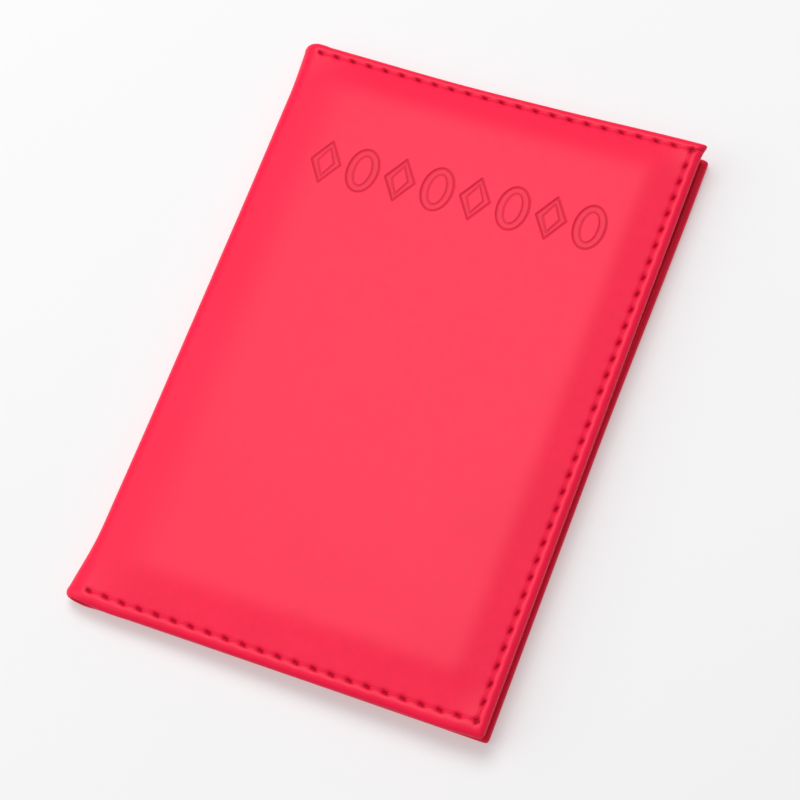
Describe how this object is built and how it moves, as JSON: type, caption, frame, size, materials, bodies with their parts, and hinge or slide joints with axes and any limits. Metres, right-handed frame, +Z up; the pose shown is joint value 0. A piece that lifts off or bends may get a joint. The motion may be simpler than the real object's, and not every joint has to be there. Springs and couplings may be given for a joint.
{
  "type": "passport holder",
  "caption": "Padded red leather passport holder, a two-cover folder with a fold along one long side, inner sleeves and card pockets, shown closed.",
  "frame": {"origin": "under the middle of the closed holder, on the face that it rests on", "axes": "+Z up through the closed covers, from the back cover to the front cover; +Y towards the top edge; the fold is at -X and the covers open at +X"},
  "size_m": [0.096, 0.143, 0.008],
  "materials": {
    "outer_leather": "smooth matte coated leather, fine grain",
    "inner_leather": "smooth matte coated leather, thinner",
    "lining": "plain woven taffeta",
    "thread": "twisted polyester sewing thread",
    "foam": "thin open-cell padding",
    "board": "flexible matte stiffener sheet"
  },
  "bodies": {
    "back_cover": {"back_outer_leather": "outer_leather", "back_foam_pad": "foam", "back_stiffener_board": "board", "back_lining": "lining", "back_passport_sleeve": "inner_leather", "back_outer_stitches": "thread", "back_inner_stitches": "thread", "back_sleeve_mouth_stitches": "thread"},
    "spine": {"spine_outer_leather": "outer_leather", "spine_lining": "lining"},
    "front_cover": {"front_outer_leather": "outer_leather", "front_foam_pad": "foam", "front_stiffener_board": "board", "front_lining": "lining", "front_passport_sleeve": "inner_leather", "front_outer_stitches": "thread", "front_inner_stitches": "thread", "front_sleeve_mouth_stitches": "thread", "rear_card_pocket": "inner_leather", "front_card_pocket": "inner_leather", "card_pocket_seam_stitches": "thread", "rear_pocket_mouth_stitches": "thread", "front_pocket_mouth_stitches": "thread"}
  },
  "joints": [
    {"name": "back_crease", "type": "hinge", "parent": "back_cover", "child": "spine", "pos_m": [-0.04721, 0, 0.00079], "axis": [0, -1, 0], "range_deg": [0, 90]},
    {"name": "front_crease", "type": "hinge", "parent": "spine", "child": "front_cover", "pos_m": [-0.04726, 0, 0.00456], "axis": [0, -1, 0], "range_deg": [0, 88.4]}
  ]
}
